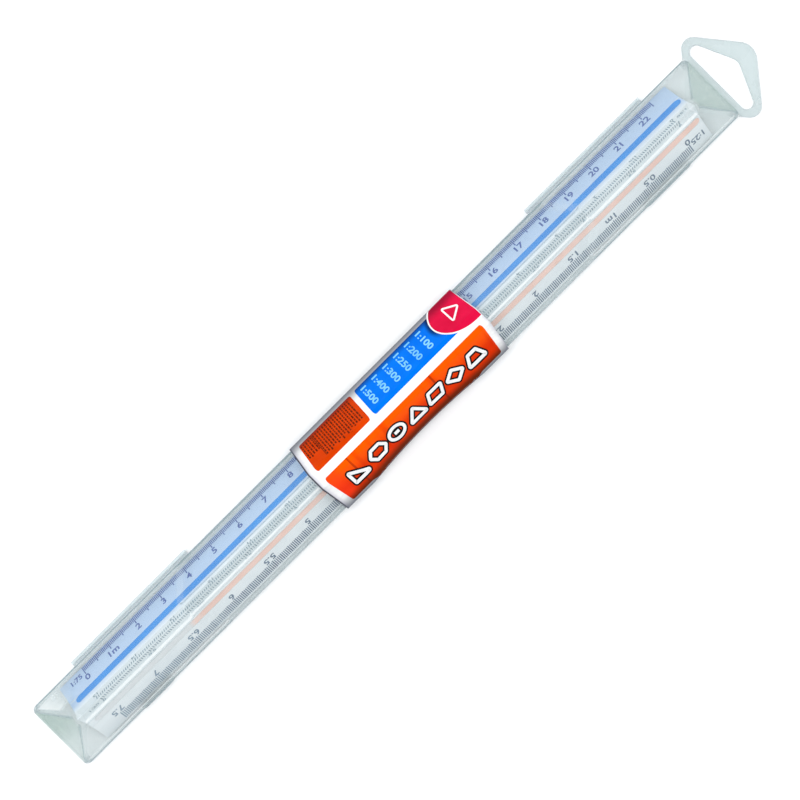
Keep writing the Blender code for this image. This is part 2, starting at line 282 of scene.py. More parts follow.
class Nodes:
    """A short way to lay out a node material."""

    def __init__(self, name):
        self.material = bpy.data.materials.new(name)
        self.material.use_nodes = True
        self.tree = self.material.node_tree
        self.shader = self.tree.nodes["Principled BSDF"]
        self.place = self.tree.nodes.new("ShaderNodeTexCoord").outputs["Object"]

    def put(self, socket, value):
        if isinstance(value, bpy.types.NodeSocket):
            self.tree.links.new(value, socket)
        else:
            socket.default_value = value

    def math(self, operation, first, second=0.0, third=0.0):
        node = self.tree.nodes.new("ShaderNodeMath")
        node.operation = operation
        for socket, value in zip(node.inputs, (first, second, third)):
            self.put(socket, value)
        return node.outputs[0]

    def noise(self, scale, detail=3.0, stretch=(1.0, 1.0, 1.0)):
        node = self.tree.nodes.new("ShaderNodeTexNoise")
        mapping = self.tree.nodes.new("ShaderNodeMapping")
        mapping.inputs["Scale"].default_value = stretch
        self.tree.links.new(self.place, mapping.inputs["Vector"])
        self.tree.links.new(mapping.outputs[0], node.inputs["Vector"])
        node.inputs["Scale"].default_value = scale
        node.inputs["Detail"].default_value = detail
        return node.outputs["Fac"]

    def ramp(self, value, low, high, out_low=0.0, out_high=1.0):
        node = self.tree.nodes.new("ShaderNodeMapRange")
        node.interpolation_type = "SMOOTHSTEP"
        for socket, number in zip(node.inputs, (value, low, high, out_low, out_high)):
            self.put(socket, number)
        return node.outputs[0]

    def mix(self, share, first, second):
        node = self.tree.nodes.new("ShaderNodeMix")
        node.data_type = "RGBA"
        self.put(node.inputs["Factor"], share)
        self.put(node.inputs[6], first)
        self.put(node.inputs[7], second)
        return node.outputs[2]

    def axis(self, name):
        node = self.tree.nodes.new("ShaderNodeSeparateXYZ")
        self.tree.links.new(self.place, node.inputs[0])
        return node.outputs[name]

    def facing(self, name):
        """How far the surface faces along one of the object's own axes."""
        node = self.tree.nodes.new("ShaderNodeSeparateXYZ")
        coordinates = self.tree.nodes.new("ShaderNodeTexCoord")
        self.tree.links.new(coordinates.outputs["Normal"], node.inputs[0])
        return node.outputs[name]

    def attribute(self):
        node = self.tree.nodes.new("ShaderNodeVertexColor")
        node.layer_name = "haze_and_painted_light"
        split = self.tree.nodes.new("ShaderNodeSeparateColor")
        self.tree.links.new(node.outputs["Color"], split.inputs[0])
        return split.outputs

    def bump(self, height, strength, distance):
        node = self.tree.nodes.new("ShaderNodeBump")
        node.inputs["Strength"].default_value = strength
        node.inputs["Distance"].default_value = distance
        self.put(node.inputs["Height"], height)
        self.tree.links.new(node.outputs[0], self.shader.inputs["Normal"])

    def set(self, **values):
        for name, value in values.items():
            self.put(self.shader.inputs[name.replace("_", " ")], value)
        return self.material


def printed(name, dark, light, scale, roughness=(0.35, 0.5), gloss=0.5, tone_and_painted_light=None):
    """Ink or moulded colour: two close shades in a fine mottle, with uneven gloss."""
    nodes = Nodes(name)
    mottle = nodes.noise(scale, 4.0)
    color = nodes.mix(nodes.ramp(mottle, 0.3, 0.7), linear(*dark), linear(*light))
    # A tone change or painted light laid over the mottle, where one is given
    if tone_and_painted_light:
        color = tone_and_painted_light(nodes, color)
    nodes.bump(nodes.noise(scale * 8), 0.08, 0.02 * MM)
    return nodes.set(Base_Color=color, Specular_IOR_Level=gloss,
                     Roughness=nodes.ramp(nodes.noise(scale / 3), 0.3, 0.7, *roughness))


def fold_painted_shade(strength=0.92):
    """Painted shade: label print is darker towards the bottom, where the card folds down over the case's rim.
    """
    return lambda nodes, color: nodes.mix(nodes.ramp(nodes.axis("Z"), 0.0120, 0.0050, 0.0, strength),
                                          color, linear(16, 18, 34))


def case_plastic(name, clear, tint=(205, 219, 221), haze_and_highlight=(238, 241, 240), shade=(112, 134, 140),
                 facet_shade=(152, 180, 170), hanger=0.0):
    """Translucent polypropylene with painted light: a whiter, less clear painted highlight along creases,
    painted shade deeper at rims, edges and the ridge, and painted shade on end facets.
    """
    nodes = Nodes(name)
    haze_and_painted_light = nodes.attribute()
    cloud = nodes.noise(38.0, 2.0, (0.25, 1.0, 1.0))
    body = nodes.mix(nodes.ramp(cloud, 0.3, 0.7), linear(*tint),
                     linear(*[min(255, c + 10) for c in tint]))
    # Painted light over the body colour: painted facet shade, painted shade, then a painted highlight
    body = nodes.mix(haze_and_painted_light["Blue"], body, linear(*facet_shade))
    body = nodes.mix(haze_and_painted_light["Green"], body, linear(*shade))
    body = nodes.mix(haze_and_painted_light["Red"], body, linear(*haze_and_highlight))
    alpha = clear
    for source, weight in ((haze_and_painted_light["Red"], 0.55), (haze_and_painted_light["Green"], 0.45), (haze_and_painted_light["Blue"], 0.26),
                           (nodes.ramp(cloud, 0.35, 0.65), 0.03)):
        alpha = nodes.math("MULTIPLY_ADD", source, weight, alpha)
    if hanger:
        end = CASE_X + CASE_END
        beyond = nodes.ramp(nodes.axis("X"), (end - 0.75) * MM, (end + 0.25) * MM, 0.0, hanger)
        # Painted shade along the plate's edges, where its sides face sideways
        rim = nodes.ramp(nodes.math("ABSOLUTE", nodes.facing("Z")), 0.95, 0.6)
        body = nodes.mix(nodes.math("MULTIPLY", rim, 0.6), body, linear(*shade))
        alpha = nodes.math("MULTIPLY_ADD", rim, 0.3, nodes.math("ADD", alpha, beyond))
    nodes.bump(nodes.noise(900.0, 3.0, (0.2, 1.0, 1.0)), 0.12, 0.03 * MM)
    return nodes.set(Base_Color=body, Alpha=nodes.math("MINIMUM", alpha, 0.92), IOR=1.49,
                     Roughness=nodes.ramp(nodes.noise(120.0), 0.3, 0.7, 0.22, 0.36))


TRAY_PLASTIC = case_plastic("tray_polypropylene", 0.07)
LID_PLASTIC = case_plastic("lid_polypropylene", 0.14, tint=(194, 208, 209), hanger=0.21)
WEB_PLASTIC = case_plastic("hinge_polypropylene", 0.30)


# -------- roof tray
def tray_profiles(outer):
    """Half-profiles (distance outwards, height) of the long side, its recess and the end."""
    profiles = []
    for rim, foot, ridge, middle in (
            (CASE_HALF, SLOPE_FOOT, RIDGE_HALF, 0.0),
            (CASE_HALF, RECESS_FOOT, RECESS_RIDGE_HALF, 0.0),
            (CASE_END, LEDGE_END, RIDGE_END, RIDGE_END - RIDGE_HALF)):
        if outer:
            rim_edge, foot_edge, ridge_edge = (rim - RIM_LEAN, RIM_TOP), (foot, LEDGE_TOP), (ridge, CASE_TOP)
            points = [(rim - SOFT, TRAY_FLOOR), (rim, TRAY_FLOOR + SOFT), (rim - 0.06, FLANGE_TOP - 0.12),
                      (rim - 0.06, FLANGE_TOP - 0.02), (rim - 0.07, FLANGE_TOP + 0.02),
                      (rim - 0.1, FLANGE_TOP + 0.5), (rim - 0.12, CATCH_TOP), rim_edge]
            points += between(rim_edge, foot_edge, (0.45, 0.7, 0.86, 1.0))
            points += between(foot_edge, ridge_edge, (0.05, 0.2, 0.4, 0.6, 0.8, 0.95, 1.0))
            points += between(ridge_edge, (middle, CASE_TOP), (0.2, 0.34, 0.4, 0.75, 1.0))
            radii = [0] * 7 + [0.6, 0, 0, 0, 0.35] + [0] * 6 + [0.9] + [0] * 5
        else:
            inset = WALL / math.sin(math.atan2(CASE_TOP - LEDGE_TOP, SLOPE_FOOT - RIDGE_HALF))
            slope = (ridge - foot) / (CASE_TOP - LEDGE_TOP)
            ceiling = CASE_TOP - WALL
            top = (foot + slope * (ceiling - LEDGE_TOP) - inset, ceiling)
            low = (foot + slope * (RIM_TOP - LEDGE_TOP) - inset, RIM_TOP)
            points = [(middle, ceiling), top, *between(top, low, (0.2, 0.5, 0.8, 1.0)),
                      (rim - WALL - INNER_LEAN, RIM_TOP - 0.6), (rim - WALL, TRAY_FLOOR + SOFT),
                      (rim - WALL + SOFT, TRAY_FLOOR)]
            radii = [0, 0.5] + [0] * 3 + [0.3, 0.3, 0, 0]
        profiles.append(fillet(points, radii))
    return profiles


def side_places():
    """Places along the long sides where the tray's rings have points, from -X to +X."""
    near, far = FLANGES[1]
    places = {near - 0.06, near, far, far + 0.06, far + 3.0, far + 5.0}
    places |= {6.0 * n for n in range(15)} | {110.0 + 5.0 * n for n in range(8)}
    places |= {STEP_AT_FOOT - STEP_RUN + 0.75 * n for n in range(18)}
    both = places | {-x for x in places}
    both |= set(THUMB_PLACES)
    for first, last in CATCHES:
        both |= {first, first + 0.7, first + 1.4, first + 2.0, last - 2.0, last - 1.4, last - 0.7, last}
    return spaced(both, 0.04)


def bulge(x, z):
    """How far a snap bulge stands out of the rim."""
    share = 0.0
    for first, last in CATCHES:
        share = max(share, ease((x - first) / CATCH_EASE) * ease((last - x) / CATCH_EASE))
    return CATCH_BULGE * share * clamp((CATCH_TOP - z) / 0.5)


def tray_ring(side, recess, end, outer):
    """Points around the tray at one station of its profiles, with where each of them lies."""
    half, height = side
    round_off = CORNER + (CORNER_ABOVE_RIM - CORNER) * clamp((height - RIM_TOP) / 1.5)
    round_off = min(round_off + CORNER_GROWTH * rise(height), 0.64 * half)
    points = []

    def corner(sign_x, sign_y, first, last):
        by_end = 1 if first in (0, 180) else 3
        for step in range(1, 4):
            angle = math.radians(first + (last - first) * step / 4)
            points.append((sign_x * (end[0] - round_off) + round_off * math.cos(angle),
                           sign_y * (half - round_off) + round_off * math.sin(angle), height,
                           "hip" if step == by_end else "corner"))

    def long_side(sign, places):
        for x in places:
            share = ease((step_place(height) + STEP_RUN / 2 - abs(x)) / STEP_RUN)
            y = half + (recess[0] - half) * share
            z = height + (recess[1] - height) * share
            low = clamp((LEDGE_TOP - z) / (LEDGE_TOP - RIM_TOP))
            if sign < 0:
                y -= (THUMB_DEPTH if outer else 0.75) * thumb_share(x) * low
                y += bulge(x, z)
            elif outer and z < FLANGE_TOP and FLANGES[1][0] <= abs(x) <= FLANGES[1][1]:
                y = FLANGE_OUT - (CASE_HALF - half) * (z < TRAY_FLOOR + SOFT / 2)
            points.append((x, sign * y, z, "side"))

    inner_end = half - round_off
    for step in range(7):
        points.append((end[0], inner_end * (step / 3 - 1), end[1], "end"))
    corner(1, 1, 0, 90)
    places = side_places()
    near = end[0] - round_off
    places = [-near + 0.5, *places, near - 0.5]
    points.append((near, half, height, "corner"))
    long_side(1, reversed(places))
    points.append((-near, half, height, "corner"))
    corner(-1, 1, 90, 180)
    for step in range(7):
        points.append((-end[0], inner_end * (1 - step / 3), end[1], "end"))
    corner(-1, -1, 180, 270)
    points.append((-near, -half, height, "corner"))
    long_side(-1, places)
    points.append((near, -half, height, "corner"))
    corner(1, -1, 270, 360)
    return points


def tray_painted_light(x, y, z, kind, outer):
    """Painted light at a point on the tray: shares of painted highlight, painted shade and painted facet
    shade.
    """
    haze_and_highlight = shade = facet_shade = 0.0
    # Painted shade on the end facets, darker on one side at -X, and along the hips and corners
    if kind != "side" and z < CASE_TOP - (0.3 if outer else WALL + 0.1):
        if kind == "end":
            facet_shade = 0.9 if x > 0 else 0.9 + 0.3 * clamp(y / 6, -1.0, 1.0)
        elif kind == "hip":
            facet_shade, shade = 0.4, 0.8
        else:
            facet_shade, shade = 0.1, 0.1 if z > RIM_TOP + 1 else 0.6
    if outer and kind == "side":
        step = step_place(z)
        middle = abs(x) < step
        across = abs(y) / (RECESS_RIDGE_HALF if middle else RIDGE_HALF)
        # Painted highlight along the steps of the recess
        if abs(abs(x) - step) < STEP_RUN / 2 and LEDGE_TOP < z < CASE_TOP - 0.3:
            haze_and_highlight = 0.2
        # From the ridge down, painted light: highlights along its creases and at the slope's foot, shade on
        # its flat, the edges below it, the ledge and the rim, and a highlight on the +Y slope beyond the
        # ridge's -X end
        if z > CASE_TOP - 0.12 and 0.63 < across < 0.96:
            haze_and_highlight = 0.75 if y < 0 else 0.2
        elif z > CASE_TOP - 0.05:
            shade = 0.6 if middle else 0.4
        elif z > CASE_TOP - 0.6 and across > 0.9:
            shade = 0.5 if y < 0 else (0.8 if middle else 0.15)
        elif LEDGE_TOP - 0.08 < z < LEDGE_TOP + 0.3:
            haze_and_highlight = (0.4 if middle else 0.75) if y < 0 else 0.15
        elif FLANGE_TOP + 0.05 < z < LEDGE_TOP:
            if abs(y) > CASE_HALF - 0.6:
                shade = 1.5 if y > 0 else 1.3 if not middle else 0.8
            else:
                shade = 0.5 if y < 0 or abs(y) < CASE_HALF - 1.0 else 0.3
        elif z > LEDGE_TOP and x < -RIDGE_END and y > 0:
            haze_and_highlight = 0.8
    return haze_and_highlight, shade, facet_shade, 1.0


def build_tray():
    rings = []
    for outer in (False, True):
        side, recess, end = tray_profiles(outer)
        for a, b, c in zip(side, recess, end):
            rings.append([(x, y, z, tray_painted_light(x, y, z, kind, outer))
                          for x, y, z, kind in tray_ring(a, b, c, outer)])
    vertices = [(CASE_X + x, y, z) for ring in rings for x, y, z, _ in ring]
    haze_and_painted_light = [value for ring in rings for *_, value in ring]
    faces = loft_faces(len(rings[0]), len(rings) - 1, caps=False)
    mesh = clean(mesh_from("roof_shell", vertices, faces, haze_and_painted_light))
    finish_piece(new_object("roof_shell", mesh, TRAY_PLASTIC), "tray", "case_plastic", "roof_tray")


# -------- base lid with the hanger loop
def hanger_apex():
    """Where the loop's two slanted edges would meet if its tip were not rounded."""
    apex = HANGER_OUT
    for _ in range(12):
        half_angle = math.atan2(HANGER_HALF, apex - SHOULDER_OUT)
        apex = HANGER_OUT + HANGER_ROUND * (1 / math.sin(half_angle) - 1)
    return apex


def lid_outlines():
    end, side, cut = CASE_END, CASE_HALF, CORNER
    shoulder = end + SHOULDER_OUT
    points = [(-end, -side + cut, 1.0), (-end + cut, -side, 1.0)]
    points += [(x, -side + THUMB_DEPTH * thumb_share(x), 0) for x in THUMB_PLACES]
    points += [(end - 0.8, -side, 0.4), (shoulder, -HANGER_HALF, SHOULDER_ROUND),
               (end + hanger_apex(), 0.0, HANGER_ROUND), (shoulder, HANGER_HALF, SHOULDER_ROUND),
               (end - 0.8, side, 0.4)]
    for first, last in reversed(FLANGES):
        points += [(last, side, 0), (last, FLANGE_OUT, 0.3), (first, FLANGE_OUT, 0.3), (first, side, 0)]
    points += [(-end + cut, side, 1.0), (-end, side - cut, 1.0)]
    outer = closed_fillet([p[:2] for p in points], [p[2] for p in points])
    start = end + HOLE_START
    hole = closed_fillet([(start, -HOLE_HALF), (start + HOLE_DEEP, 0.0), (start, HOLE_HALF)], [2.6, 5.0, 2.6])
    return outer, hole


def plate(name, outlines, bottom, top, edge=0.28):
    """A flat plate with softened edges, filled between its outlines."""
    curve = bpy.data.curves.new(name, "CURVE")
    curve.dimensions = "2D"
    curve.fill_mode = "BOTH"
    for outline in outlines:
        spline = curve.splines.new("POLY")
        spline.points.add(len(outline) - 1)
        for point, (x, y) in zip(spline.points, outline):
            point.co = ((CASE_X + x) * MM, y * MM, 0.0, 1.0)
        spline.use_cyclic_u = True
    curve.extrude = ((top - bottom) / 2 - edge) * MM
    curve.bevel_depth = edge * MM
    curve.bevel_resolution = 1
    curve.offset = -edge * MM
    mesh = curve_mesh(curve)
    for vertex in mesh.vertices:
        vertex.co.z += (top + bottom) / 2 * MM
    mesh.materials.clear()
    mesh.name = name
    return clean(mesh)


def build_lid():
    mesh = plate("base_panel", lid_outlines(), 0.0, PANEL)
    paint(mesh, [(0.0, 0.0, 0.0, 1.0)] * len(mesh.vertices))
    finish_piece(new_object("base_panel", mesh, LID_PLASTIC), "base", "case_plastic", "base_lid")
    for number, (first, last) in enumerate(CATCHES, 1):
        start, stop, y_out = first + 0.5, last - 0.5, -(CASE_HALF - WALL + CATCH_BULGE - 0.3)
        outline = closed_fillet([(start, y_out), (stop, y_out), (stop, y_out + 0.7), (start, y_out + 0.7)],
                                [0.3] * 4, 4)
        tongue = plate(f"catch_tongue_{number}", [outline], PANEL - 0.02, PANEL + 2.2, 0.15)
        paint(tongue, [(0.15, 0.0, 0.0, 1.0)] * len(tongue.vertices))
        finish_piece(new_object(f"catch_tongue_{number}", tongue, LID_PLASTIC), "base", "case_plastic")


def build_webs():
    """The thin folded web of the living hinge, from the lid's flange to the tray's."""
    for side, (first, last) in zip(("left", "right"), FLANGES):
        middle = [(15.9, 0.62), (16.25, 0.66), (16.6, 0.78), (16.82, 1.0), (16.88, 1.15),
                  (16.82, 1.3), (16.6, 1.52), (16.25, 1.64), (15.9, 1.68)]
        section = []
        for offset, order in ((0.12, 1), (-0.12, -1)):
            edge = []
            for i, (y, z) in enumerate(middle):
                before = Vector(middle[max(i - 1, 0)])
                after = Vector(middle[min(i + 1, len(middle) - 1)])
                along = (after - before).normalized()
                edge.append((y + along.y * offset, z - along.x * offset))
            section += edge[::order]
        steps = 24
        vertices = [(CASE_X + first + (last - first) * n / steps, y, z)
                    for n in range(steps + 1) for y, z in section]
        mesh = clean(mesh_from(f"hinge_web_{side}", vertices, loft_faces(len(section), steps),
                               [(0.2, 0.0, 0.0, 1.0)] * len(vertices)))
        web = new_object(f"hinge_web_{side}", mesh, WEB_PLASTIC, 60.0)
        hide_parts(f"hinge_film_{side}")
        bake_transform(web)


# -------- ruler
def ruler_corners():
    height = RULER_SIDE * math.sqrt(3) / 2
    return [Vector((RULER_SIDE / 2, RULER_FLOOR)), Vector((0.0, RULER_FLOOR + height)),
            Vector((-RULER_SIDE / 2, RULER_FLOOR))]


def flute(offset):
    """How deep a face is hollowed, at an offset from its middle."""
    return FLUTE_DEPTH * max(0.0, 1.0 - (offset / FACE_HALF) ** 2)


def face_point(face, x, offset, lift):
    """A point on a ruler face: offset across it from its middle, lift above its surface."""
    corners = ruler_corners()
    first, second = corners[face], corners[(face + 1) % 3]
    along = (second - first).normalized()
    inward = Vector((-along.y, along.x))
    spot = (first + second) / 2 + along * offset + inward * (flute(offset) - lift)
    return (CASE_X + x, spot.x, spot.y)


def blue_face(nodes, color):
    """The face with the blue stripe has a faint blue cast, up to where it nears the ridge."""
    share = nodes.math("MULTIPLY", nodes.ramp(nodes.axis("Y"), 0.0018, 0.0045, 0.0, 0.85),
                       nodes.ramp(nodes.facing("Y"), 0.3, 0.6))
    return nodes.mix(share, color, linear(160, 187, 219))


def pale_to_left(start, end, strength, pale):
    """Painted reflection: ink that turns paler from one place along the ruler to another, towards -X."""
    return lambda nodes, color: nodes.mix(nodes.ramp(nodes.axis("X"), start, end, 0.0, strength),
                                          color, linear(*pale))


def build_ruler():
    white = printed("ruler_polystyrene", (210, 217, 220), (217, 223, 225), 60.0, (0.3, 0.42), 0.3,
                    blue_face)
    section = []
    for face in range(3):
        offsets = [-FACE_HALF + 2 * FACE_HALF * n / 28 for n in range(29)]
        offsets = [o for o in offsets if abs(o) > GROOVE_HALF + 0.05]
        line = [(o, 0.0) for o in offsets if o < 0]
        line += [(-GROOVE_HALF, 0.0), (-GROOVE_HALF + 0.1, -GROOVE_DEPTH), (0.0, -GROOVE_DEPTH),
                 (GROOVE_HALF - 0.1, -GROOVE_DEPTH), (GROOVE_HALF, 0.0)]
        line += [(o, 0.0) for o in offsets if o > 0]
        section += [face_point(face, 0.0, o, lift)[1:] for o, lift in line]
    centroid = Vector((sum(p[0] for p in section), sum(p[1] for p in section))) / len(section)
    stations = [(-RULER_HALF, 0.15), (-RULER_HALF + 0.2, 0.0)]
    stations += [(-RULER_HALF + 0.2 + (2 * RULER_HALF - 0.4) * n / 16, 0.0) for n in range(1, 17)]
    stations += [(RULER_HALF, 0.15)]
    vertices = []
    for x, shrink in stations:
        for y, z in section:
            inward = (centroid - Vector((y, z))).normalized() * shrink
            vertices.append((CASE_X + x, y + inward.x, z + inward.y))
    mesh = clean(mesh_from("ruler_core", vertices, loft_faces(len(section), len(stations) - 1)))
    finish_piece(new_object("ruler_core", mesh, white, 25.0), "ruler", "ruler_plastic", "ruler_body")


def build_stripe(face, color, material):
    """A coloured inlay in the groove of one face, with rounded ends."""
    name, piece = f"stripe_{color}", f"strip_{color}"
    first, last = STRIPE_ENDS
    half = 2.0 if face != 1 else 1.8
    places = [first + half * (1 - math.cos(math.radians(a))) for a in (0, 25, 45, 60, 75, 90)]
    places += [first + half + (last - first - 2 * half) * n / 20 for n in range(1, 20)]
    places += [last - half * (1 - math.cos(math.radians(a))) for a in (90, 75, 60, 45, 25, 0)]
    rows = []
    for x in places:
        reach = half
        for edge, side in ((first, 1), (last, -1)):
            inside = (x - edge) * side
            if inside < half:
                reach = min(reach, math.sqrt(max(half * half - (half - inside) ** 2, 0.0004)))
        rows.append([(x, reach * (n / 4 - 1)) for n in range(9)])
    vertices = [face_point(face, x, o, lift) for lift in (0.0, -GROOVE_DEPTH + 0.01)
                for row in rows for x, o in row]
    mesh = clean(mesh_from(name, vertices, sheet_faces(9, len(rows))))
    finish_piece(new_object(name, mesh, material), "ruler", piece, piece)


def bar(vertices, faces, sections):
    """Add a thin closed bar that runs through sections of four corners each."""
    base = len(vertices)
    for section in sections:
        vertices += section
    faces += [tuple(base + i for i in face) for face in loft_faces(4, len(sections) - 1)]


def text_shapes(text, height, width_share):
    """A short run of figures, flat, with its middle at zero: points, faces and rim edges."""
    cap = 0.69
    curve = bpy.data.curves.new("figures", "FONT")
    curve.body = text
    curve.resolution_u = 3
    curve.offset = 0.025
    curve.align_x = "CENTER"
    work = bmesh.new()
    work.from_mesh(curve_mesh(curve))
    bmesh.ops.remove_doubles(work, verts=work.verts, dist=1e-5)
    scale = height / cap
    points = [(v.co.x * scale * width_share, (v.co.y - cap / 2) * scale) for v in work.verts]
    shapes = [[v.index for v in f.verts] for f in work.faces]
    rims = [[v.index for v in e.verts] for e in work.edges if len(e.link_faces) == 1]
    work.free()
    return points, shapes, rims


def stamp(vertices, faces, shape, place, lift, depth):
    """Put flat shapes on a surface as a thin closed print; place(u, v, lift) gives the points."""
    points, shapes, rims = shape
    base = len(vertices)
    count = len(points)
    vertices += [place(u, v, lift) for u, v in points] + [place(u, v, lift - depth) for u, v in points]
    faces += [tuple(base + i for i in s) for s in shapes]
    faces += [tuple(base + count + i for i in reversed(s)) for s in shapes]
    faces += [(base + a, base + b, base + count + b, base + count + a) for a, b in rims]


# Each scale is 300 mm long. It has a ratio, a face and an edge, and a way to run. tick, mid and figure
# are metres at scale from one tick, middle tick or figure to the next; ink is a tick's half width as a
# share of that spacing. Then come the distances from the edge: where the ticks start, where the short,
# middle and long ones end, and where the figures and the ratio stand, with their heights.
RIDGE_ROWS = dict(ink=0.2, start=0.3, ends=(3.2, 3.5, 3.8), figures=(5.0, 2.0), sign=(3.0, 2.0))
THIRD_FACE = dict(ink=0.2, start=0.3, ends=(2.2, 2.8, 3.4), figures=(5.2, 2.5), sign=(2.6, 2.1))
SCALES = (
    dict(ratio=75, face=0, foot=True, way=1, tick=0.05, mid=0.5, figure=1.0, ink=0.3, start=0.3,
         ends=(2.6, 3.7, 4.1), figures=(6.0, 3.0), sign=(3.0, 2.3)),
    dict(ratio=25, face=1, foot=True, way=-1, tick=0.02, mid=0.1, figure=0.5, ink=0.25, start=0.8,
         ends=(4.7, 4.9, 5.1), figures=(6.8, 3.0), sign=(4.7, 2.7)),
    dict(ratio=50, face=0, foot=False, way=-1, tick=0.05, mid=0.5, figure=1.0, **RIDGE_ROWS),
    dict(ratio=20, face=1, foot=False, way=1, tick=0.02, mid=0.1, figure=0.5, **RIDGE_ROWS),
    dict(ratio=100, face=2, foot=True, way=-1, tick=0.1, mid=0.5, figure=2.0, **THIRD_FACE),
    dict(ratio=125, face=2, foot=False, way=1, tick=0.1, mid=0.5, figure=2.0, **THIRD_FACE),
)
SCALE_LENGTH = 300.0
# Where a scale's zero stands when it runs to +X (1) or to -X (-1)
SCALE_ZERO = {1: -148.4, -1: 150.6}
INK_LIFT = 0.03
INK_DEPTH = 0.05


def build_scale(name, scale, material):
    face, way, ratio = scale["face"], scale["way"], scale["ratio"]
    zero = SCALE_ZERO[way]
    metres = SCALE_LENGTH * ratio / 1000
    per = 1000 / ratio
    vertices, faces = [], []

    toward = -1 if (face == 0) == scale["foot"] else 1

    def across(distance):
        return toward * (FACE_HALF - distance)

    short, middle, full = scale["ends"]
    per_mid = round(scale["mid"] / scale["tick"])
    per_long = round(scale["figure"] / scale["tick"])
    for n in range(round(metres / scale["tick"]) + 1):
        x = zero + way * n * scale["tick"] * per
        length = full if n % per_long == 0 else middle if n % per_mid == 0 else short
        width = scale["tick"] * per * (scale["ink"] + (0.04 if n % per_mid == 0 else 0.0))
        cuts = [scale["start"] + (length - scale["start"]) * k / 2 for k in range(3)]
        bar(vertices, faces, [[face_point(face, x + dx, across(distance), lift) for dx, lift in
                               ((-width, INK_LIFT), (width, INK_LIFT), (width, INK_LIFT - INK_DEPTH),
                                (-width, INK_LIFT - INK_DEPTH))]
                              for distance in cuts])

    def place(middle_x, distance):
        return lambda u, v, lift: face_point(face, middle_x + way * u, across(distance) + toward * v, lift)

    def write(text, x, distance, height):
        stamp(vertices, faces, text_shapes(text, height, 1.05), place(x, distance), INK_LIFT, INK_DEPTH)

    for n in range(int(metres / scale["figure"]) + 1):
        value = n * scale["figure"]
        write(f"{value:g}" + ("m" if value == 1 else ""), zero + way * value * per, *scale["figures"])
    write(f"1:{ratio}", zero - way * 4.6, *scale["sign"])
    mesh = clean(mesh_from(name, vertices, faces))
    finish_piece(new_object(name, mesh, material, 20.0), "ruler", "ruler_plastic")


# -------- label
# Half of the label's section, from the ridge's middle to its foot, and the length up to each point
SECTION = fillet([(0.0, LABEL_TOP), (RIDGE_HALF, LABEL_TOP), (LABEL_HALF - 0.2, LABEL_SHOULDER),
                  (LABEL_HALF, LABEL_FOOT)], [0, 0.8, 0.6, 0], 6)
LENGTHS = [0.0]
for before, after in zip(SECTION, SECTION[1:]):
    LENGTHS.append(LENGTHS[-1] + math.dist(before, after))


def label_point(x, s, lift):
    """A point on the label: s along its section from the ridge's middle, positive to +Y."""
    reach = min(abs(s), LENGTHS[-1])
    index = max(i for i in range(len(LENGTHS) - 1) if LENGTHS[i] <= reach + 1e-9)
    share = (reach - LENGTHS[index]) / (LENGTHS[index + 1] - LENGTHS[index])
    first, second = Vector(SECTION[index]), Vector(SECTION[index + 1])
    along = (second - first).normalized()
    spot = first + (second - first) * share
    normal = Vector((-along.y, along.x))
    spot += normal * lift
    y, z = spot
    if s < 0:
        y -= LABEL_THUMB * thumb_share(x) * clamp((LABEL_TOP - z) / (LABEL_TOP - LABEL_SHOULDER))
        y = -y
    return (CASE_X + x, y, z)


def grid_sheet(name, columns, rows, point, top, bottom, material, *nodes):
    """A closed thin sheet over a grid; point(column, row, lift) gives its places."""
    vertices = [point(c, r, lift) for lift in (top, bottom) for r in rows for c in columns]
    mesh = clean(mesh_from(name, vertices, sheet_faces(len(columns), len(rows))), 0.0005 * MM)
    finish_piece(new_object(name, mesh, material, 50.0), "tray", "label_print", *nodes)


def section_rows(first, last, spacing=1.2):
    """Stations along the section between two places, dense at its creases."""
    rows = {first, last}
    rows |= {sign * length for sign in (1, -1) for length in LENGTHS
             if first < sign * length < last}
    steps = round((last - first) / spacing)
    rows |= {first + (last - first) * n / steps for n in range(steps)}
    return spaced(rows, 0.02)


def build_label_sheet(material):
    foot = LENGTHS[-1]
    rows = section_rows(-foot, foot, 2.0)
    start, stop = LABEL_ENDS
    columns = [n / 36 for n in range(37)]

    def point(c, s, lift):
        x, y, z = label_point(start + (stop - start) * c, s, lift)
        stretch = LABEL_RIDGE_EXTRA * (2 * c - 1) * clamp((z - LABEL_FOOT) / (LABEL_TOP - LABEL_FOOT))
        return (x + stretch, y, z)

    grid_sheet("label_card", columns, rows, point, 0.0, -LABEL_THICKNESS, material, "wrap_label")


def panel(name, material, s_low, s_high, ends, corner, lift, columns, extra=()):
    """A printed panel with rounded corners; ends(share) gives its two ends from s_low to s_high."""
    turns = [corner * (1 - math.cos(math.radians(a))) for a in (30, 55, 75, 90)]
    rows = set(section_rows(s_low, s_high)) | {s_low + t for t in [*turns, *extra]}
    rows = sorted(rows | {s_high - t for t in turns})

    def point(c, s, height):
        first, last = ends((s - s_low) / (s_high - s_low))
        inside = min(s - s_low, s_high - s)
        if inside < corner:
            pull = (corner - math.sqrt(max(corner ** 2 - (corner - inside) ** 2, 0.0))) * SLOPE_VIEW
            first += pull
            last -= pull
        x = first + (last - first) * c
        if s < -HEM:
            reach = (LENGTHS[-1] - HEM_REACH) * min(1.0, 2.5 * thumb_share(x))
            s -= reach * (-HEM - s) / (-HEM - s_low)
        return label_point(x, s, height)

    grid_sheet(name, [n / columns for n in range(columns + 1)], rows, point, lift, lift - PRINT, material)


